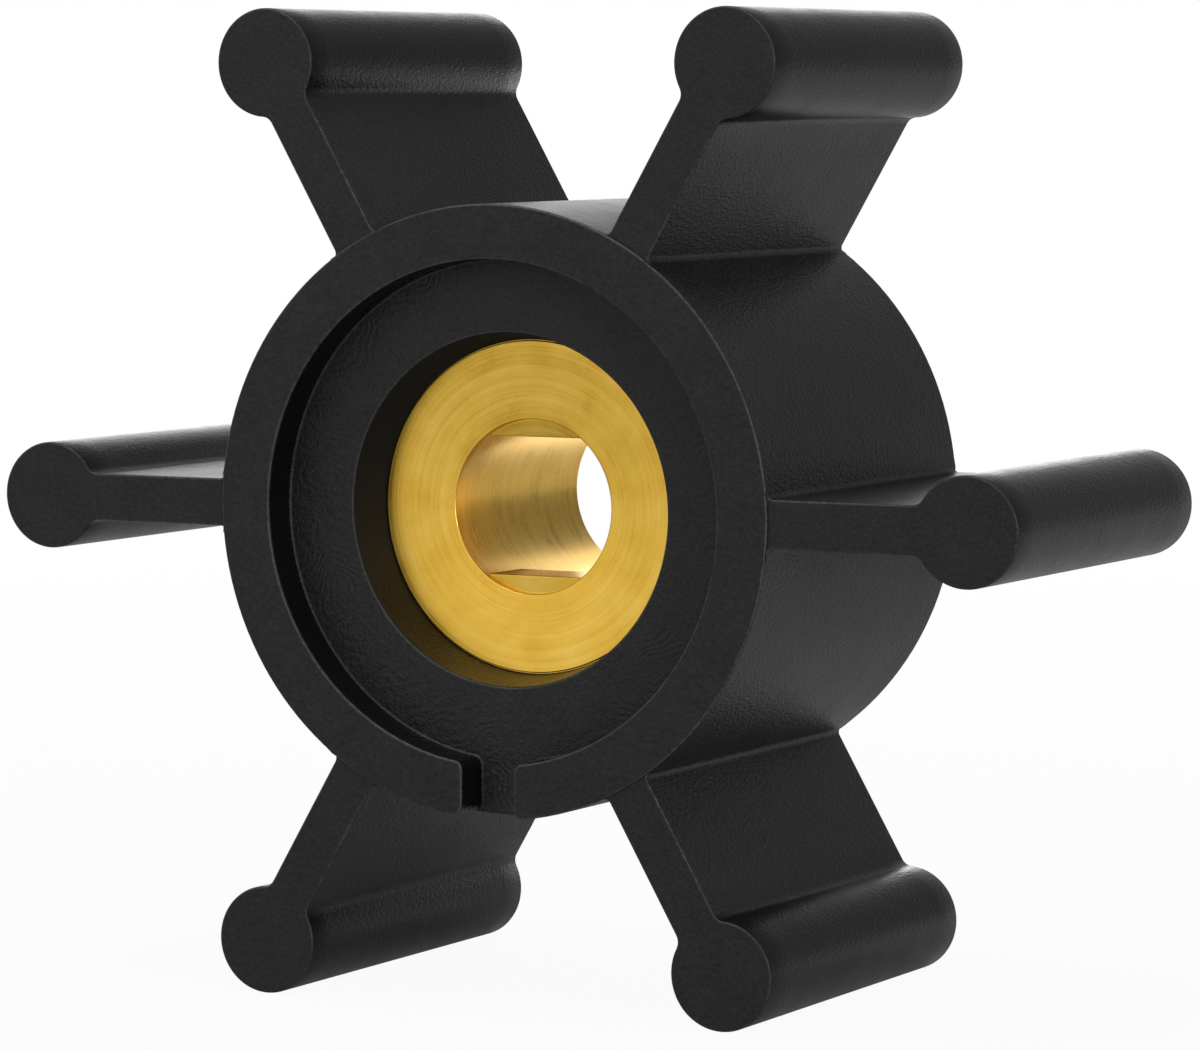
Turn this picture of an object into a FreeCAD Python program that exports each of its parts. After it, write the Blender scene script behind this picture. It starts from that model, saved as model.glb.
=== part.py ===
import FreeCAD, Part
import math
import os
import Sketcher

# Flexible pump impeller: a moulded rubber wheel with six bulb-ended vanes on a turned brass insert.
# The wheel turns about Y, its front face looks along -Y, and the origin is the centre of the bore.
# Millimetres, +Z up, two vanes level with the X axis, so the wheel stands on its two lower bulbs.

sizes = {
    # Wheel
    "overall_diameter": 52.0,
    "wheel_width": 21.0,
    "hub_diameter": 28.0,
    "vane_count": 6,
    "vane_thickness": 2.2,
    "bulb_diameter": 5.0,
    "vane_relief": 0.15,
    "neck_radius": 0.6,
    "root_radius": 0.3,
    "edge_break": 0.12,
    # Recess, notch and mouth in each end of the hub
    "recess_diameter": 23.0,
    "recess_depth": 2.0,
    "notch_width": 2.7,
    "notch_corner": 0.4,
    "mouth_diameter": 16.2,
    "window_diameter": 15.4,
    # Brass insert
    "insert_setback": 4.4,
    "insert_diameter": 17.0,
    "bore_diameter": 8.0,
    "bore_chamfer": 0.1,
    "drive_draft": 0.04,
    "flute_count": 8,
    "flute_radius": 0.7,
    "across_flats": 6.4,
    "flat_setback": 0.4,
    "flat_length": 3.0,
}

doc = FreeCAD.newDocument("PumpImpeller")
sheet = doc.addObject("Spreadsheet::Sheet", "Sizes")
for row, (alias, value) in enumerate(sizes.items(), start=1):
    sheet.set("A%d" % row, alias)
    sheet.set("B%d" % row, str(value))
    sheet.setAlias("B%d" % row, alias)
doc.recompute()


class Length:
    """A length as a number, with the expression that ties it to the sheet."""

    def __init__(self, number, text):
        self.number = number
        self.text = text

    def __add__(self, other):
        return Length(self.number + other.number, "(%s + %s)" % (self.text, other.text))

    def __sub__(self, other):
        return Length(self.number - other.number, "(%s - %s)" % (self.text, other.text))

    def __mul__(self, factor):
        return Length(self.number * factor, "(%s * %s)" % (self.text, factor))

    def __truediv__(self, divisor):
        return Length(self.number / divisor, "(%s / %s)" % (self.text, divisor))

    def __neg__(self):
        return Length(-self.number, "(-%s)" % self.text)


def size(alias):
    return Length(sizes[alias], "Sizes." + alias)


def smaller(first, second):
    return Length(min(first.number, second.number), "min(%s; %s)" % (first.text, second.text))


def third_side(longest, side):
    """The third side of a right-angled triangle, from its longest side and one other."""
    number = math.sqrt(longest.number ** 2 - side.number ** 2)
    return Length(number, "sqrt(%s ^ 2 - %s ^ 2)" % (longest.text, side.text))


hub = size("hub_diameter") / 2
rim = size("recess_diameter") / 2
mouth = size("mouth_diameter") / 2
window = size("window_diameter") / 2
face = size("wheel_width") / 2
recess_floor = face - size("recess_depth")
bulb = size("bulb_diameter") / 2
bulb_centre = size("overall_diameter") / 2 - bulb
half_web = size("vane_thickness") / 2
neck = size("neck_radius")
insert = size("insert_diameter") / 2
insert_end = face - size("insert_setback")
bore = size("bore_diameter") / 2
flute = size("flute_radius")


# How far a pad or a cut runs on into what it meets, so that no skin is left between them.
bite = Length(0.3, "0.3")

ZERO = Length(0.0, "0")
UPWARD = FreeCAD.Vector(0, 0, 1)
NEAR = 1e-4


def sketch_point(x, y):
    return FreeCAD.Vector(x.number, y.number, 0)


def origin_feature(body, role):
    return [feature for feature in body.Origin.OriginFeatures if feature.Role == role][0]


def new_body(name):
    body = doc.addObject("PartDesign::Body", name)
    body.Label = name
    body.Placement = FreeCAD.Placement()
    return body


def new_sketch(body, name, role, forward=None):
    """A sketch on one of the body's own origin planes, or a driven distance in front of it."""
    sketch = body.newObject("Sketcher::SketchObject", name)
    sketch.AttachmentSupport = [(origin_feature(body, role), "")]
    sketch.MapMode = "FlatFace"
    if forward is not None:
        sketch.setExpression("AttachmentOffset.Base.z", forward.text)
    return sketch


def drive(sketch, kind, *where, length):
    """Add a dimension to the sketch and tie it to the sheet."""
    index = sketch.addConstraint(Sketcher.Constraint(kind, *where, length.number))
    sketch.setExpression("Constraints[%d]" % index, length.text)


def polygon(sketch, corners):
    """A closed outline of straight lines, each corner at driven distances from the sketch's origin."""
    points = [sketch_point(x, y) for x, y in corners]
    count = len(points)
    for index in range(count):
        sketch.addGeometry(Part.LineSegment(points[index], points[(index + 1) % count]), False)
    for index in range(count):
        sketch.addConstraint(Sketcher.Constraint("Coincident", index, 2, (index + 1) % count, 1))
    for index, (x, y) in enumerate(corners):
        drive(sketch, "DistanceX", -1, 1, index, 1, length=x)
        drive(sketch, "DistanceY", -1, 1, index, 1, length=y)


def circle_on_x(sketch, centre, radius):
    """A circle centred on the sketch's horizontal axis."""
    sketch.addGeometry(Part.Circle(sketch_point(centre, ZERO), UPWARD, radius.number), False)
    sketch.addConstraint(Sketcher.Constraint("PointOnObject", 0, 3, -1))
    drive(sketch, "DistanceX", -1, 1, 0, 3, length=centre)
    drive(sketch, "Radius", 0, length=radius)


def revolve(body, name, sketch):
    feature = body.newObject("PartDesign::Revolution", name)
    feature.Profile = sketch
    feature.ReferenceAxis = (sketch, ["V_Axis"])
    feature.Angle = 360.0
    doc.recompute()
    return feature


def extrude(body, kind, name, sketch, length, midplane=False, reverse=False):
    """A pad or a pocket of the sketch, checked for having changed the solid."""
    before = body.Shape.Volume
    feature = body.newObject("PartDesign::" + kind, name)
    feature.Profile = sketch
    feature.setExpression("Length", length.text)
    feature.SideType = "Symmetric" if midplane else "One side"
    feature.Reversed = reverse
    doc.recompute()
    grown = body.Shape.Volume - before
    if (grown > 0) != (kind == "Pad") or abs(grown) < 1e-6:
        raise RuntimeError("%s did not work: volume changed by %.4f" % (name, grown))
    return feature


def round_pattern(body, name, features, count):
    pattern = body.newObject("PartDesign::PolarPattern", name)
    pattern.Originals = features
    pattern.Axis = (origin_feature(body, "Y_Axis"), [""])
    pattern.Angle = 360.0
    pattern.setExpression("Occurrences", count.text)
    body.Tip = pattern
    doc.recompute()
    return pattern


def soften(body, kind, name, base, amount, wanted):
    """Fillet or chamfer each edge of the base feature that the test picks out."""
    names = ["Edge%d" % number for number, edge in enumerate(base.Shape.Edges, start=1) if wanted(edge)]
    if not names:
        raise RuntimeError("%s found no edge to soften" % name)
    feature = body.newObject("PartDesign::" + kind, name)
    feature.Base = (base, names)
    feature.setExpression("Radius" if kind == "Fillet" else "Size", amount.text)
    body.Tip = feature
    doc.recompute()
    return feature


def runs_along_axis(edge):
    """True for a straight edge parallel to the wheel's axis."""
    if not isinstance(edge.Curve, Part.Line):
        return False
    return abs(abs(edge.Curve.Direction.y) - 1) < NEAR


def lies_at(point, radius):
    """True for a point that far from the wheel's axis."""
    return abs(math.hypot(point.x, point.z) - radius.number) < NEAR


def along_hub_wall(edge):
    """True for the straight corner between a vane and the hub's outside."""
    return runs_along_axis(edge) and lies_at(edge.Vertexes[0].Point, hub)


# The rubber wheel
rubber = new_body("rubber_impeller")

# Half section of the hub: rim, recess floor and tapered mouth at each end, and the seat of the insert.
section = new_sketch(rubber, "HubSection", "XY_Plane")
polygon(section, [
    (hub, -face), (hub, face), (rim, face), (rim, recess_floor), (mouth, recess_floor),
    (window, insert_end), (insert, insert_end), (insert, -insert_end), (window, -insert_end),
    (mouth, -recess_floor), (rim, -recess_floor), (rim, -face),
])
revolve(rubber, "Hub", section)

# One vane: a flat web from inside the rim's wall, flared at the neck into the round bulb. Its two ends lie a
# hair behind the end faces of the hub.
web_start = (hub + rim) / 2
neck_start = bulb_centre - third_side(bulb + neck, half_web + neck)
neck_angle = math.atan2(half_web.number + neck.number, bulb_centre.number - neck_start.number)
quarter_turn = math.pi / 2
root_top = sketch_point(web_start, half_web)
root_bottom = sketch_point(web_start, -half_web)
neck_top = sketch_point(neck_start, half_web)
neck_bottom = sketch_point(neck_start, -half_web)
top_flare = Part.Circle(sketch_point(neck_start, half_web + neck), UPWARD, neck.number)
bottom_flare = Part.Circle(sketch_point(neck_start, -(half_web + neck)), UPWARD, neck.number)
bulb_circle = Part.Circle(sketch_point(bulb_centre, ZERO), UPWARD, bulb.number)
vane_outline = new_sketch(rubber, "VaneOutline", "XZ_Plane")
vane_outline.addGeometry([
    Part.LineSegment(root_top, neck_top),
    Part.LineSegment(root_bottom, neck_bottom),
    Part.ArcOfCircle(top_flare, -quarter_turn, -neck_angle),
    Part.ArcOfCircle(bottom_flare, neck_angle, quarter_turn),
    Part.ArcOfCircle(bulb_circle, neck_angle - math.pi, math.pi - neck_angle),
    Part.LineSegment(root_top, root_bottom),
], False)
upper_web, lower_web, upper_neck, lower_neck, tip, root_end = range(6)
vane_outline.addConstraint([
    Sketcher.Constraint("Horizontal", upper_web),
    Sketcher.Constraint("Horizontal", lower_web),
    Sketcher.Constraint("Coincident", root_end, 1, upper_web, 1),
    Sketcher.Constraint("Coincident", root_end, 2, lower_web, 1),
    Sketcher.Constraint("Symmetric", root_end, 1, root_end, 2, -1),
    Sketcher.Constraint("Tangent", upper_web, 2, upper_neck, 1),
    Sketcher.Constraint("Tangent", lower_web, 2, lower_neck, 2),
    Sketcher.Constraint("Tangent", upper_neck, 2, tip, 2),
    Sketcher.Constraint("Tangent", lower_neck, 1, tip, 1),
    Sketcher.Constraint("Equal", upper_neck, lower_neck),
    Sketcher.Constraint("PointOnObject", tip, 3, -1),
])
drive(vane_outline, "DistanceX", -1, 1, upper_web, 1, length=web_start)
drive(vane_outline, "DistanceX", -1, 1, tip, 3, length=bulb_centre)
drive(vane_outline, "Radius", tip, length=bulb)
drive(vane_outline, "Radius", upper_neck, length=neck)
drive(vane_outline, "DistanceY", root_end, 2, root_end, 1, length=size("vane_thickness"))
vane_end = face - size("vane_relief")
vane = extrude(rubber, "Pad", "Vane", vane_outline, vane_end * 2, midplane=True)
vanes = round_pattern(rubber, "Vanes", [vane], size("vane_count"))



def points_along(edge):
    middle = edge.valueAt((edge.FirstParameter + edge.LastParameter) / 2)
    return [vertex.Point for vertex in edge.Vertexes] + [middle]


def vane_end_edge(edge):
    """True for the edges round the ends of the vanes, from root to bulb."""
    points = points_along(edge)
    level = all(abs(abs(point.y) - vane_end.number) < NEAR for point in points)
    return level and not all(lies_at(point, hub) for point in points)


# Broken edges round the ends of the vanes, and rounded roots where the vanes grow out of the hub.
edge_break = size("edge_break")
vane_edges = soften(rubber, "Chamfer", "VaneEdges", vanes, edge_break, vane_end_edge)
roots = soften(rubber, "Fillet", "VaneRoots", vane_edges, size("root_radius"), along_hub_wall)

# Ribs in the seat, which lock into the insert's flutes.
rib_outline = new_sketch(rubber, "RibOutline", "XZ_Plane")
circle_on_x(rib_outline, insert, flute)
rib = extrude(rubber, "Pad", "GripRib", rib_outline, insert_end * 2, midplane=True)
round_pattern(rubber, "GripRibs", [rib], size("flute_count"))

# The notch through the rim, below the bore, down to the floor of the recess.
notch_outline = new_sketch(rubber, "NotchOutline", "XZ_Plane", forward=face)
half_notch = size("notch_width") / 2
notch_top = -(rim + mouth) / 2
notch_foot = -(hub + bite)
polygon(notch_outline, [
    (-half_notch, notch_foot), (half_notch, notch_foot), (half_notch, notch_top), (-half_notch, notch_top),
])
notch = extrude(rubber, "Pocket", "Notch", notch_outline, size("recess_depth"))


def notch_corner_edge(edge):
    """True for the upright corners where the notch meets the rim's inner and outer walls."""
    if not runs_along_axis(edge):
        return False
    point = edge.Vertexes[0].Point
    at_side = point.z < 0 and abs(abs(point.x) - half_notch.number) < NEAR
    return at_side and (lies_at(point, rim) or lies_at(point, hub))


notch_corners = soften(rubber, "Fillet", "NotchCorners", notch, size("notch_corner"), notch_corner_edge)


def end_face_edge(edge):
    """True for the edges of the rim and the notch that lie in one of the two end faces."""
    return all(abs(abs(point.y) - face.number) < NEAR for point in points_along(edge))


def mouth_edge(edge):
    """True for the two circles where the mouths open into the recess floors."""
    return isinstance(edge.Curve, Part.Circle) and abs(edge.Curve.Radius - mouth.number) < NEAR


# Broken edges of the hub: those in the end faces always by less than the vanes are set back.
end_break = smaller(edge_break, size("vane_relief") * 0.8)
end_edges = soften(rubber, "Chamfer", "EndEdges", notch_corners, end_break, end_face_edge)
soften(rubber, "Chamfer", "MouthEdges", end_edges, edge_break, mouth_edge)

# The brass insert
brass = new_body("brass_insert")

# Half section: a bush with a small chamfer at each mouth of its bore, and a slight draft where it drives.
chamfer = size("bore_chamfer")
drive_front = size("flat_setback") - insert_end
drive_end = drive_front + size("flat_length")
drive_mouth = bore + size("drive_draft")
bush_section = new_sketch(brass, "BushSection", "XY_Plane")
polygon(bush_section, [
    (insert, -insert_end), (insert, insert_end), (bore + chamfer, insert_end), (bore, insert_end - chamfer),
    (bore, drive_end), (drive_mouth, chamfer - insert_end), (drive_mouth + chamfer, -insert_end),
])
revolve(brass, "Bush", bush_section)

# Flutes down the outside, which the rubber fills.
flute_outline = new_sketch(brass, "FluteOutline", "XZ_Plane")
circle_on_x(flute_outline, insert, flute)
groove = extrude(brass, "Pocket", "Flute", flute_outline, insert_end * 2, midplane=True)
round_pattern(brass, "Flutes", [groove], size("flute_count"))

# Two short drive flats, above and below, just inside the front mouth of the bore.
flat_count = Length(2, "2")
flat_height = size("across_flats") / 2
flat_reach = third_side(bore, flat_height) + bite
flat_top = bore + bite
flat_outline = new_sketch(brass, "FlatOutline", "XZ_Plane", forward=insert_end - size("flat_setback"))
polygon(flat_outline, [
    (-flat_reach, flat_height), (flat_reach, flat_height), (flat_reach, flat_top), (-flat_reach, flat_top),
])
flat = extrude(brass, "Pad", "DriveFlat", flat_outline, size("flat_length"), reverse=True)
round_pattern(brass, "DriveFlats", [flat], flat_count)

doc.recompute()
for item in doc.Objects:
    if "Invalid" in item.State or "Error" in item.State:
        raise RuntimeError("%s failed: %s" % (item.Name, item.State))
os.makedirs("parts", exist_ok=True)
for body in (rubber, brass):
    shape = body.Shape
    if shape.isNull() or not shape.isValid() or len(shape.Solids) != 1:
        raise RuntimeError("%s is not one sound solid" % body.Label)
    shape.exportStep(os.path.join("parts", body.Label + ".step"))
    print("%s: %.2f mm3" % (body.Label, shape.Volume))
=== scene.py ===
import math

import bmesh
import bpy
from mathutils import Matrix, Vector


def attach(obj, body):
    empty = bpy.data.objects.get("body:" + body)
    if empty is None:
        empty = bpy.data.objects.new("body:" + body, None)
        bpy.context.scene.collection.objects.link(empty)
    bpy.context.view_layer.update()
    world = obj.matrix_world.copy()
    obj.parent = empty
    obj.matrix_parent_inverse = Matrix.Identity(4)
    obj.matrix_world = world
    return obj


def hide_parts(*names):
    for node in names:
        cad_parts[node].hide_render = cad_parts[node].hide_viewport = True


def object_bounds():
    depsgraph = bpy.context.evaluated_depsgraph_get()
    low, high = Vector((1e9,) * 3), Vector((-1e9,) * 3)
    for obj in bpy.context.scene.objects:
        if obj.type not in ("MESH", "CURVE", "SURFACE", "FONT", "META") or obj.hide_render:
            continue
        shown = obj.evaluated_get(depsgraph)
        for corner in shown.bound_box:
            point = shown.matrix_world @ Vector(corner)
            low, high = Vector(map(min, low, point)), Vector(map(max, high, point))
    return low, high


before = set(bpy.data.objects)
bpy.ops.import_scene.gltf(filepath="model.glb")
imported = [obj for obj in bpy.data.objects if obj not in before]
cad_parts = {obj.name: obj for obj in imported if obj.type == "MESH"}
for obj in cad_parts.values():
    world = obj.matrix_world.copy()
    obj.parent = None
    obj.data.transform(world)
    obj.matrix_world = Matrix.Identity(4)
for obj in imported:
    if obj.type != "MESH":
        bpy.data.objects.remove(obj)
cad_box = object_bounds()

# The brass insert is the metal heart of the wheel, a short bush turned from bar. Its bore takes the pump's
# shaft, and two short flats near the front of the bore stop the wheel from slipping round on it.
# The rubber is moulded and bonded round it, so only its two faces and its bore can be seen.
mm = 0.001
merge_gap = 0.0005 * mm
hair = 0.001 * mm
smooth_turn = math.radians(40)
insert_radius = 8.5 * mm
insert_end = 6.1 * mm
face_radius = 7.67 * mm
face_step = 0.1 * mm
bore_radius = 4.0 * mm
bore_mouth = 4.04 * mm
flat_front = 5.7 * mm
flat_back = 2.7 * mm
flat_height = 3.2 * mm
pad_bite = 0.03 * mm
brass_round = 0.06 * mm
turned_steps = 144
groove_depth = 0.002 * mm
dish_slope = 0.08
painted_pad_shade = 0.22
mask_margin = 0.1 * mm
mask_blur = 0.05 * mm
brass_tones = [
    (0.3, (0.66, 0.38, 0.041)),
    (0.5, (0.80, 0.49, 0.068)),
    (0.7, (0.90, 0.59, 0.12)),
]


class Signal:
    """The output of a shader node. Sums on it add Math nodes to its material."""

    def __init__(self, tree, socket=None):
        self.tree = tree
        self.socket = socket

    def add(self, kind, settings=None, inputs=None, output=0):
        """Add a node, give it its settings, then the values or links of its sockets by name or number."""
        made = self.tree.nodes.new("ShaderNode" + kind)
        for name, setting in (settings or {}).items():
            if name != "stops":
                setattr(made, name, setting)
                continue
            ramp = made.color_ramp.elements
            while len(ramp) < len(setting):
                ramp.new(1.0)
            for element, (position, colour) in zip(ramp, setting):
                element.position = position
                element.color = (*colour, 1.0)
        for name, value in (inputs or {}).items():
            if isinstance(value, Signal):
                self.tree.links.new(value.socket, made.inputs[name])
            else:
                made.inputs[name].default_value = value
        return Signal(self.tree, made.outputs[output])

    def math(self, operation, *values, clamp=False):
        """Add a Math node on these values or signals."""
        return self.add("Math", {"operation": operation, "use_clamp": clamp}, dict(enumerate(values)))

    def beyond(self, start, width):
        """Make a mask that is 0 up to the start and 1 from one width further on."""
        return self.math("MULTIPLY", self - start, 1 / width, clamp=True)

    def within(self, end, width):
        """Make a mask that is 0 from the end on and 1 up to one width before it."""
        return self.math("MULTIPLY", end - self, 1 / width, clamp=True)

    def noise(self, scale, detail, roughness=0.5):
        """Add cloudy noise that takes this signal as its place."""
        return self.add(
            "TexNoise", inputs={"Vector": self, "Scale": scale, "Detail": detail, "Roughness": roughness},
        )

    def __add__(self, other):
        return self.math("ADD", self, other)

    def __sub__(self, other):
        return self.math("SUBTRACT", self, other)

    def __rsub__(self, other):
        return self.math("SUBTRACT", other, self)

    def __mul__(self, other):
        return self.math("MULTIPLY", self, other)

    def __truediv__(self, other):
        return self.math("DIVIDE", self, other)

    def __rtruediv__(self, other):
        return self.math("DIVIDE", other, self)

    __radd__ = __add__
    __rmul__ = __mul__


def start_finish(name, settings):
    """Start a material and return it with an empty signal in its tree and with its shader."""
    finish = bpy.data.materials.new(name)
    finish.use_nodes = True
    shader = finish.node_tree.nodes["Principled BSDF"]
    for socket, value in settings.items():
        shader.inputs[socket].default_value = value
    return finish, Signal(finish.node_tree), shader


def plug_in(signal, node, socket):
    """Link a signal to a socket of a node."""
    signal.tree.links.new(signal.socket, node.inputs[socket])


def survey(net):
    """Read the place on the piece, its three coordinates and its distance from the shaft's line."""
    spot = net.add("TexCoord", output="Object")
    x, y, z = (net.add("SeparateXYZ", inputs={0: spot}, output=axis) for axis in "XYZ")
    return spot, x, y, z, net.math("SQRT", x * x + z * z)


def join(bm, shape, turns=(0,)):
    """Add a finished shape to another one, once at each of these angles round the shaft's line."""
    mesh = bpy.data.meshes.new("Shape")
    shape.to_mesh(mesh)
    shape.free()
    for turn in turns:
        copy = mesh.copy()
        copy.transform(Matrix.Rotation(math.radians(turn), 4, "Y"))
        bm.from_mesh(copy)
        bpy.data.meshes.remove(copy)
    bpy.data.meshes.remove(mesh)


def grow(bm, extrusion, shift, stretch=1.0):
    """Move what an extrusion made along the shaft's line and out from it, and return its free edges."""
    made = extrusion["geom"]
    corners = [item for item in made if isinstance(item, bmesh.types.BMVert)]
    bmesh.ops.scale(bm, vec=(stretch, 1, stretch), verts=corners)
    bmesh.ops.translate(bm, vec=(0, shift, 0), verts=corners)
    return [item for item in made if isinstance(item, bmesh.types.BMEdge) and item.is_boundary]


def soften(bm, edges, width):
    """Round the given edges off and return the faces of the roundings."""
    return bmesh.ops.bevel(
        bm, geom=edges, offset=width, offset_type="OFFSET", affect="EDGES", segments=3,
        profile=0.5, material=-1, clamp_overlap=False,
    )["faces"]


def place(bm, name, finish, node):
    """Shade the shape and make it the piece that stands for its node of the frame."""
    for face in bm.faces:
        face.smooth = True
    for edge in bm.edges:
        edge.smooth = edge.calc_face_angle(0.0) < smooth_turn
    mesh = bpy.data.meshes.new(name)
    bm.to_mesh(mesh)
    bm.free()
    mesh.materials.append(finish)
    piece = bpy.data.objects.new(name, mesh)
    bpy.context.scene.collection.objects.link(piece)
    smoother = piece.modifiers.new("Even shading", "WEIGHTED_NORMAL")
    smoother.keep_sharp = True
    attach(piece, "root")
    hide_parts(node)


bush = bmesh.new()
section = [
    (bore_mouth, -insert_end),
    (face_radius, -insert_end),
    (face_radius, face_step - insert_end),
    (insert_radius, face_step - insert_end),
    (insert_radius, insert_end - face_step),
    (face_radius, insert_end - face_step),
    (face_radius, insert_end),
    (bore_radius, insert_end),
    (bore_radius, -flat_back),
]
corners = [bush.verts.new((radius, y, 0.0)) for radius, y in section]
outline = [bush.edges.new((corner, corners[index - 1])) for index, corner in enumerate(corners)]
bmesh.ops.spin(
    bush, geom=corners + outline, cent=(0, 0, 0), axis=(0, 1, 0), angle=math.tau, steps=turned_steps,
    use_merge=True,
)
bmesh.ops.remove_doubles(bush, verts=bush.verts[:], dist=merge_gap)
bmesh.ops.recalc_face_normals(bush, faces=bush.faces[:])


def runs_round(edge, level):
    """Tell whether the edge is part of a circle round the shaft's line at this distance from the middle."""
    first, last = (vert.co for vert in edge.verts)
    on_level = abs(abs(first.y) - level) < hair and abs(first.y - last.y) < hair
    return on_level and abs(first.xz.length - last.xz.length) < hair


soften(bush, [edge for edge in bush.edges if runs_round(edge, insert_end)], brass_round)
for side in (1, -1):
    pad = bmesh.new()
    bmesh.ops.create_circle(
        pad, cap_ends=True, segments=turned_steps, radius=bore_mouth + pad_bite,
        matrix=Matrix.Translation((0, -flat_front, 0)) @ Matrix.Rotation(math.radians(90), 4, "X"),
    )
    bmesh.ops.bisect_plane(
        pad, geom=pad.verts[:] + pad.edges[:] + pad.faces[:], plane_co=(0, 0, side * flat_height),
        plane_no=(0, 0, side), clear_inner=True,
    )
    grow(pad, bmesh.ops.extrude_face_region(pad, geom=pad.faces[:]), flat_front - flat_back)
    bmesh.ops.recalc_face_normals(pad, faces=pad.faces[:])
    lips = [
        edge for edge in pad.edges
        if all(abs(vert.co.z - side * flat_height) < hair for vert in edge.verts)
        and abs(edge.verts[0].co.y - edge.verts[1].co.y) < hair
    ]
    soften(pad, lips, brass_round)
    join(bush, pad)

brass, net, shader = start_finish("Turned brass", {"Metallic": 1.0})
spot, x, y, z, radius = survey(net)


def turning_lines(fineness, drift, detail):
    """Make grooves that run round the shaft's line and change slowly on their way."""
    along = net.add(
        "CombineXYZ", inputs={0: (radius + y) * fineness, 1: x / radius * drift, 2: z / radius * drift},
    )
    return along.noise(scale=1.0, detail=detail, roughness=0.6)


fine = turning_lines(fineness=8500, drift=0.6, detail=0.0)
broad = turning_lines(fineness=2500, drift=1.0, detail=2.0)
tarnish = spot.noise(scale=600.0, detail=3.0)
tone = net.add("ValToRGB", {"stops": brass_tones}, {0: fine * 0.24 + broad * 0.26 + tarnish * 0.5})
# The front ends of the two pads sit back in the bore's mouth and are painted a shade darker, a painted shade.
painted_shade_on_pads = radius.within(bore_radius, mask_blur) * y.within(mask_margin - flat_front, mask_blur)
shaded = net.add("VectorMath", {"operation": "SCALE"}, {0: tone, "Scale": 1 - painted_shade_on_pads * painted_pad_shade})
plug_in(shaded, shader, "Base Color")
plug_in(fine * 0.08 + tarnish * 0.1 + 0.2, shader, "Roughness")
# The tool left the faces very slightly dished, which spreads their shine.
surface = radius * dish_slope + fine * groove_depth
cut = net.add("Bump", inputs={"Height": surface, "Strength": 1.0, "Distance": 1.0})
plug_in(cut, shader, "Normal")
place(bush, "brass_bush", brass, "brass_insert")

# The rubber wheel is one moulding in soft black rubber, pressed round the insert in a two-part mould. Six
# vanes stand out from its thick hub, and each ends in a round bulb that sweeps the pump's wall. A shallow
# recess in each face of the hub leads down to the insert, and at the front a notch opens it through the rim.
hub_radius = 14.0 * mm
recess_radius = 11.5 * mm
recess_floor = 8.5 * mm
rim_level = 10.5 * mm
vane_level = 10.35 * mm
seat_level = insert_end - face_step
web_half = 1.1 * mm
root_round = 0.3 * mm
neck_start = 19.5 * mm
neck_round = 0.6 * mm
bulb_radius = 2.5 * mm
bulb_middle = 23.49 * mm
notch_half = 1.35 * mm
notch_round = 0.4 * mm
notch_margin = 0.05 * mm
mouth_radius = 8.1 * mm
window_radius = 7.7 * mm
edge_round = 0.12 * mm
cove_round = 0.14 * mm
grain_depth = 0.038 * mm
floor_band = 0.06 * mm
floor_blur = 0.04 * mm
notch_blur = 0.3 * mm
bulb_blur = 1.5 * mm
sharp_turn = math.radians(50)
flat_turn = 0.001
root_steps = 3
corner_steps = 6
rubber_tones = [
    (0.0, (0.002, 0.002, 0.002)),
    (0.35, (0.005, 0.005, 0.0052)),
    (0.65, (0.015, 0.015, 0.0153)),
    (0.85, (0.022, 0.022, 0.0224)),
    (1.0, (0.05, 0.05, 0.051)),
]

# Where the roundings of a vane's root and neck and of the notch's corners have their centres and ends.
root_height = web_half + root_round
root_reach = math.sqrt((hub_radius + root_round) ** 2 - root_height ** 2)
root_turn = math.degrees(math.asin(root_height / (hub_radius + root_round)))
neck_height = web_half + neck_round
neck_turn = math.degrees(math.asin(neck_height / (bulb_radius + neck_round)))
neck_reach = bulb_middle - (bulb_radius + neck_round) * math.cos(math.radians(neck_turn))
notch_middle = notch_half + notch_round
inner_turn = math.degrees(math.asin(notch_middle / (recess_radius + notch_round)))
inner_drop = (recess_radius + notch_round) * math.cos(math.radians(inner_turn))
outer_turn = math.degrees(math.asin(notch_middle / (hub_radius - notch_round)))
outer_drop = (hub_radius - notch_round) * math.cos(math.radians(outer_turn))


def cell(bm, start, moves):
    """Draw a closed outline on the level of the recess floor and fill it. A move of two numbers is a straight
    run to that point, and one of four is an arc: its centre, its turn in degrees as seen from the front, and
    its steps. An arc that two cells share has the same steps in both, so that their corners meet."""
    level = -recess_floor
    first = last = bm.verts.new((start[0], level, start[1]))
    outline = []
    for move in moves:
        if len(move) == 2:
            grown = bmesh.ops.extrude_vert_indiv(bm, verts=[last])
            last = grown["verts"][0]
            last.co = (move[0], level, move[1])
            outline += grown["edges"]
        else:
            drawn = set(bm.edges)
            last = bmesh.ops.spin(
                bm, geom=[last], cent=(move[0], level, move[1]), axis=(0, -1, 0), angle=math.radians(move[2]),
                steps=move[3],
            )["geom_last"][0]
            outline += [edge for edge in bm.edges if edge not in drawn]
    outline.append(bm.edges.new((last, first)))
    bmesh.ops.contextual_create(bm, geom=outline)


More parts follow.
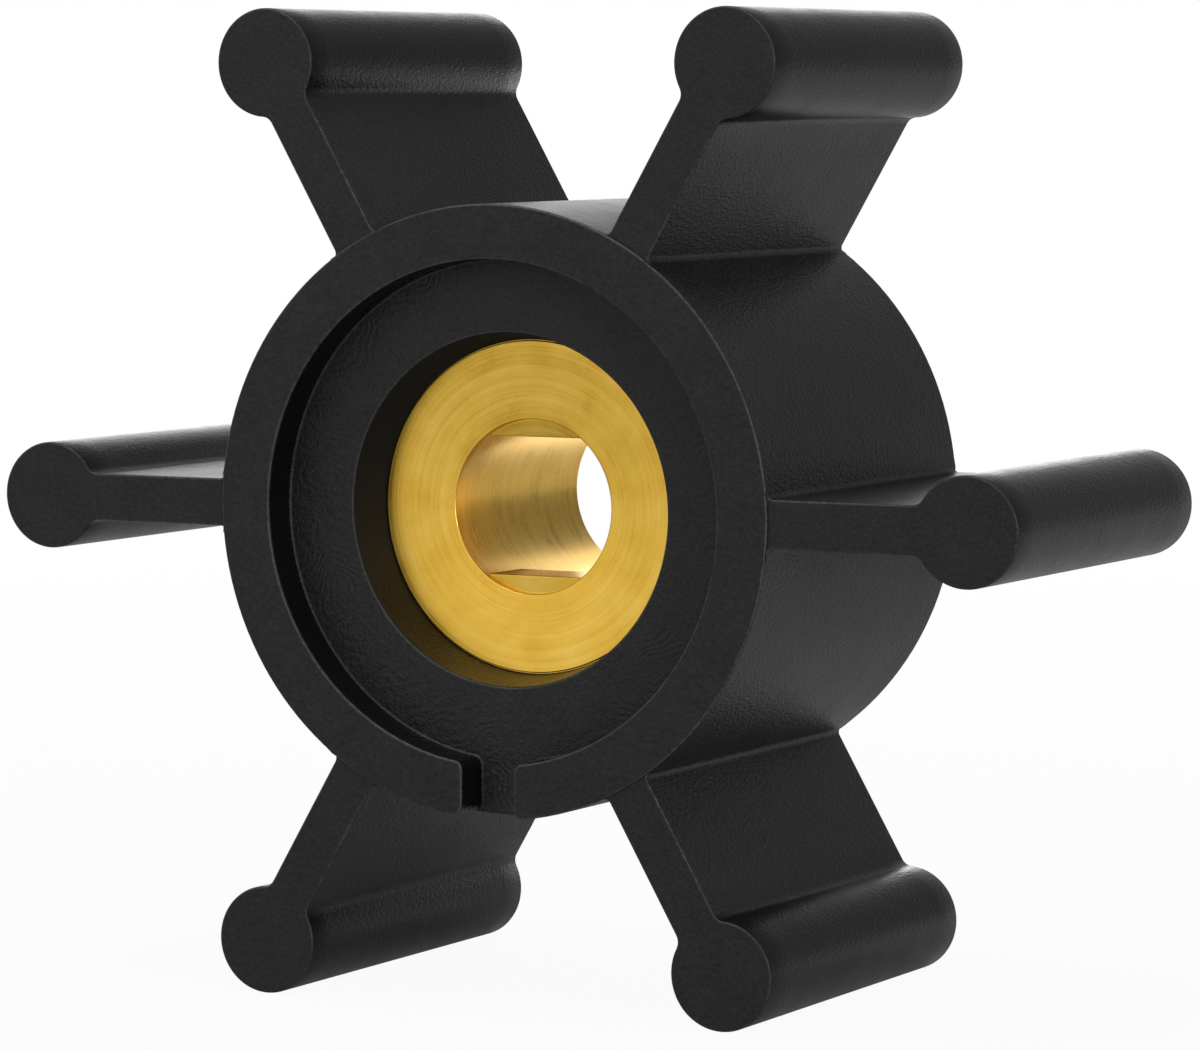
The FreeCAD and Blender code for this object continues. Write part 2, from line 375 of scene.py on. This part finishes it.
def drawn_wheel():
    """Draw the wheel flat as cells that meet: five plain sectors of the hub's rim, six vanes, and the sector
    with the notch. Half of each is drawn and mirrored."""
    sector = bmesh.new()
    cell(sector, (0, -hub_radius), [
        (0, 0, 30 - root_turn, 10),
        (0, 0, root_turn, root_steps),
        (recess_radius / 2, -recess_radius * math.sin(math.radians(60))),
        (0, 0, -30, 12),
    ])
    vane = bmesh.new()
    cell(vane, (hub_radius, 0), [
        (0, 0, root_turn, root_steps),
        (root_reach, root_height, 90 - root_turn, corner_steps),
        (neck_reach, web_half),
        (neck_reach, neck_height, 90 - neck_turn, corner_steps),
        (bulb_middle, 0, neck_turn - 180, 34),
    ])
    gap = bmesh.new()
    cell(gap, (notch_half, -inner_drop), [
        (notch_middle, -inner_drop, inner_turn - 90, corner_steps),
        (0, 0, 30 - inner_turn, 10),
        (hub_radius / 2, -hub_radius * math.sin(math.radians(60))),
        (0, 0, -root_turn, root_steps),
        (0, 0, root_turn + outer_turn - 30, 7),
        (notch_middle, -outer_drop, -90 - outer_turn, corner_steps),
    ])
    cell(gap, (0, -hub_radius), [
        (0, 0, outer_turn, 3),
        (notch_middle, -outer_drop, -90 - outer_turn, corner_steps),
        (notch_half, -inner_drop),
        (notch_middle, -inner_drop, inner_turn - 90, corner_steps),
        (0, 0, -inner_turn, 4),
    ])
    wheel = bmesh.new()
    halves = [
        (sector, "X", range(60, 360, 60)),
        (vane, "Z", range(0, 360, 60)),
        (gap, "X", [0]),
    ]
    for half, flip, turns in halves:
        everything = half.verts[:] + half.edges[:] + half.faces[:]
        bmesh.ops.mirror(half, geom=everything, matrix=Matrix.Identity(4), merge_dist=merge_gap, axis=flip)
        join(wheel, half, turns)
    bmesh.ops.remove_doubles(wheel, verts=wheel.verts[:], dist=merge_gap)
    return wheel


def raise_faces(bm, faces, shift):
    """Lift a region of faces with walls round it and take the faces under it away."""
    grow(bm, bmesh.ops.extrude_face_region(bm, geom=faces), shift)
    bmesh.ops.delete(bm, geom=[face for face in faces if face.is_valid], context="FACES")


def in_notch(face):
    """Tell whether a face is part of the notch's floor."""
    middle = face.calc_center_median()
    return abs(middle.x) < notch_half and -hub_radius < middle.z < -recess_radius


def half_wheel(notched):
    """Make the front half of the wheel, from the middle plane to the front, with or without the notch."""
    wheel = drawn_wheel()
    raise_faces(
        wheel, [face for face in wheel.faces if not (notched and in_notch(face))], recess_floor - vane_level,
    )
    # The hub's end stands a little proud of the vanes' ends.
    proud = [
        face for face in wheel.faces
        if all(vert.co.y < hair - vane_level for vert in face.verts)
        and face.calc_center_median().xz.length < hub_radius
    ]
    raise_faces(wheel, proud, vane_level - rim_level)
    free = [edge for edge in wheel.edges if edge.is_boundary]
    outside = [edge for edge in free if edge.verts[0].co.xz.length > (recess_radius + hub_radius) / 2]
    inside = [edge for edge in free if edge not in outside]
    grow(wheel, bmesh.ops.extrude_edge_only(wheel, edges=outside), recess_floor)
    # Across the recess floor, down the mouth, out to the edge of the insert and along it to the middle.
    way_in = [
        (0, mouth_radius / recess_radius),
        (recess_floor - seat_level, window_radius / mouth_radius),
        (0, insert_radius / window_radius),
        (seat_level, 1.0),
    ]
    for shift, stretch in way_in:
        inside = grow(wheel, bmesh.ops.extrude_edge_only(wheel, edges=inside), shift, stretch)
    return wheel


wheel = half_wheel(notched=True)
back_half = half_wheel(notched=False)
bmesh.ops.scale(back_half, vec=(1, -1, 1), verts=back_half.verts[:])
join(wheel, back_half)
bmesh.ops.remove_doubles(wheel, verts=wheel.verts[:], dist=merge_gap)
bmesh.ops.recalc_face_normals(wheel, faces=wheel.faces[:])


def under_notch(vert):
    """Tell whether a corner lies on the back rim, opposite the notch, where its outline isn't wanted."""
    return vert.co.y > rim_level - hair and vert.co.z < 0 and abs(vert.co.x) < notch_middle + notch_margin


flat = [edge for edge in wheel.edges if edge.calc_face_angle(1.0) < flat_turn]
needless = [edge for edge in flat if all(under_notch(vert) for vert in edge.verts)]
bmesh.ops.dissolve_edges(wheel, edges=needless)
steep = [edge for edge in wheel.edges if edge.calc_face_angle(0.0) > sharp_turn]
on_end = [edge for edge in steep if all(abs(vert.co.y) > vane_level - hair for vert in edge.verts)]
on_floor = [edge for edge in steep if all(abs(abs(vert.co.y) - recess_floor) < hair for vert in edge.verts)]
rounded = [edge for edge in on_end + on_floor if edge.is_convex]
coves = [edge for edge in on_floor if not edge.is_convex]
roundings = set(soften(wheel, rounded, edge_round))
# The corners of the roundings are marked for a lighter tone, partly wear and partly a painted highlight along
# the edges.
worn = wheel.verts.layers.float.new("worn")
for vert in {vert for face in roundings for vert in face.verts}:
    if all(face in roundings for face in vert.link_faces):
        vert[worn] = 1.0
soften(wheel, [edge for edge in coves if edge.is_valid], cove_round)
# The roundings at the notch's outer end push two corners out of the hub, so these are drawn back to it.
for vert in wheel.verts:
    reach = vert.co.xz.length
    if abs(vert.co.x) < notch_middle and vert.co.z < 0 and reach > hub_radius + hair:
        bmesh.ops.scale(wheel, vec=(hub_radius / reach, 1, hub_radius / reach), verts=[vert])

rubber, net, shader = start_finish("Moulded rubber", {"Specular IOR Level": 0.22})
spot, _, y, z, radius = survey(net)
depth = net.math("ABSOLUTE", y)
edge_wear_and_highlight = net.add("Attribute", {"attribute_name": "worn"}, output="Fac")

# Masks for the parts of the wheel that came out of the mould or wore differently, for the walls inside the
# hub, which get painted shade, and for the notch's floor, which gets painted light.
end_face = depth.beyond(vane_level - mask_blur, mask_blur)
in_hub = radius.within(hub_radius - mask_margin, mask_blur)
in_recess = in_hub * depth.within(recess_floor + 2 * floor_band, floor_band)
in_recess = in_recess * depth.beyond(recess_floor - floor_band, floor_blur)
plain = 1 - end_face - in_recess
painted_shade_walls = in_hub * plain
painted_light_on_notch_floor = radius.beyond(recess_radius + mask_margin, notch_blur) * in_recess
in_mouth = radius.within(mouth_radius + mask_margin, mask_margin)
on_bulb = radius.beyond(neck_start, bulb_blur) * plain

# The mould's fine grain, its dull speckle, the swirls where the rubber flowed together, and dust.
stretched = net.add("VectorMath", {"operation": "MULTIPLY"}, {0: spot, 1: (1.0, 0.5, 1.0)})
wrinkles = stretched.noise(scale=7500.0, detail=1.0)
speckle = spot.noise(scale=5200.0, detail=2.0)
flow = spot.noise(scale=380.0, detail=1.0)
swirls = net.math("SINE", flow * 90) * 0.15 + wrinkles
dust = spot.noise(scale=500.0, detail=4.0)

# The rubber's bloom and dust vary its tone at random. The walls inside the hub are painted much darker, a
# painted shade for the deep shade in the recesses, and the bulbs a little darker, a painted shade for their
# dim middles.
bloom_and_painted_shade = (dust * 0.3 + speckle * 0.7) * (1 - painted_shade_walls * 0.8 - on_bulb * 0.4)
# The rounded edges are lighter, partly wear and partly a painted highlight. The notch's floor is lighter, a
# painted light that lifts the shade between its walls. The recess floor and the ends are a little lighter.
scuffs_and_painted_light = edge_wear_and_highlight * 0.4 + in_recess * 0.14 + painted_light_on_notch_floor * 0.2 + end_face * 0.08
tone = net.add("ValToRGB", {"stops": rubber_tones}, {0: net.math("ADD", bloom_and_painted_shade, scuffs_and_painted_light, clamp=True)})
plug_in(tone, shader, "Base Color")
# The mouth's wall is glossy low down, where it mirrors the brass, and dull at the top.
mouth_dullness = in_mouth * (z * 55 + 0.47)
dullness = dust * 0.12 + speckle * 0.08 + 0.33 + edge_wear_and_highlight * 0.08 - painted_shade_walls * 0.15 - on_bulb * 0.08
plug_in(dullness + mouth_dullness, shader, "Roughness")
height = wrinkles * plain * (1 - on_bulb * 0.4) + speckle * end_face * 0.8 + swirls * in_recess
grain = net.add("Bump", inputs={"Height": height, "Strength": 1.0, "Distance": grain_depth})
plug_in(grain, shader, "Normal")
place(wheel, "rubber_wheel", rubber, "rubber_impeller")

# The stand is a plain white table under the wheel, in a pale room. A broad soft lamp hangs overhead, smaller
# ones stand to the side and behind, and two very small ones light the far end of the bore.
table_size = 0.3
table_level = cad_box[0][2]
paper_grey = (0.45, 0.45, 0.45, 1.0)
white = (1.0, 1.0, 1.0, 1.0)
table = bmesh.new()
bmesh.ops.create_grid(
    table, x_segments=1, y_segments=1, size=table_size, matrix=Matrix.Translation((0, 0, table_level)),
)
mesh = bpy.data.meshes.new("Table")
table.to_mesh(mesh)
table.free()
floor = bpy.data.objects.new("Table", mesh)
bpy.context.scene.collection.objects.link(floor)
paper, net, shader = start_finish("White paper", {"Base Color": paper_grey, "Roughness": 1.0})
mesh.materials.append(paper)


def ray_kinds(net):
    """Tell the camera's own rays, those that a surface mirrors and those that pass through one."""
    return (net.add("LightPath", output=f"Is {kind} Ray") for kind in ("Camera", "Glossy", "Transmission"))


# To the camera the paper shines white, most of all far out, and near the wheel it keeps a faint shadow.
seen, mirrored, through = ray_kinds(net)
glow = net.add("Emission", inputs={"Color": white, "Strength": 1.0})
lit = Signal(paper.node_tree, shader.outputs["BSDF"])
spot = net.add("TexCoord", output="Object")
far = net.add("VectorMath", {"operation": "LENGTH"}, {0: spot}, output="Value")
whiteness = net.math("MULTIPLY", far, 4.0, clamp=True) * 0.06 + 0.94
share = whiteness * net.math("ADD", seen + mirrored * 0.2, through, clamp=True)
blend = net.add("MixShader", inputs={0: share, 1: lit, 2: glow})
plug_in(blend, paper.node_tree.nodes["Material Output"], "Surface")

# The room is white to the camera and lights the wheel half as brightly. The part of it that lies behind the
# wheel is darker in mirrored rays, above and to the right, which gives the black rubber its deep tones.
room = bpy.data.worlds.new("Room")
room.use_nodes = True
bpy.context.scene.world = room
walls = room.node_tree.nodes["Background"]
walls.inputs["Color"].default_value = white
net = Signal(room.node_tree)
seen, mirrored, through = ray_kinds(net)
backdrop = net.math("ADD", seen + mirrored, through, clamp=True)
way = net.add("TexCoord", output="Generated")
right, back, up = (net.add("SeparateXYZ", inputs={0: way}, output=axis) for axis in "XYZ")
behind = net.math("MULTIPLY", back + 0.1, 2.5, clamp=True)
dim = net.math("ADD", right * 2.6 + up * 2.5, 0.15, clamp=True) * behind
plug_in(backdrop * 0.5 + 0.5 - mirrored * dim * 0.75, walls, "Strength")


def hang_lamp(name, location, size, power):
    """Hang a square soft lamp that shines at the wheel and is not seen itself."""
    lamp = bpy.data.lights.new(name, "AREA")
    lamp.size = size
    lamp.energy = power
    holder = bpy.data.objects.new(name, lamp)
    holder.location = location
    holder.rotation_mode = "QUATERNION"
    holder.rotation_quaternion = (-Vector(location)).to_track_quat("-Z", "Y")
    holder.visible_camera = False
    bpy.context.scene.collection.objects.link(holder)


hang_lamp("Overhead lamp", location=(-0.15, -0.15, 0.88), size=0.45, power=4.5)
hang_lamp("Side lamp", location=(0.9, -0.46, 0.14), size=0.3, power=3.4)
hang_lamp("Back lamp", location=(-0.42, 0.84, 0.16), size=0.3, power=0.8)
hang_lamp("Bore lamp", location=(-0.007, 0.036, 0.011), size=0.014, power=0.001)
hang_lamp("Low bore lamp", location=(-0.006, 0.036, -0.013), size=0.014, power=0.0008)

# The camera stands to the right of the shaft's line and a little above it. Its long lens looks at a point
# just under the middle of the bore.
target = Vector((0.355, 0.0, -1.2357)) * mm
distance = 265.5 * mm
azimuth = math.radians(27.129)
elevation = math.radians(4.445)
roll = math.radians(0.131)
toward_camera = Vector((
    math.sin(azimuth) * math.cos(elevation),
    -math.cos(azimuth) * math.cos(elevation),
    math.sin(elevation),
))
lens = bpy.data.cameras.new("Lens")
lens.lens = 169.76
lens.clip_start = 0.01
camera = bpy.data.objects.new("Camera", lens)
camera.location = target + toward_camera * distance
camera.rotation_mode = "QUATERNION"
upright = (-toward_camera).to_track_quat("-Z", "Y")
camera.rotation_quaternion = upright @ Matrix.Rotation(roll, 4, "Z").to_quaternion()
bpy.context.scene.collection.objects.link(camera)
bpy.context.scene.camera = camera
bpy.context.scene.view_settings.view_transform = "Standard"
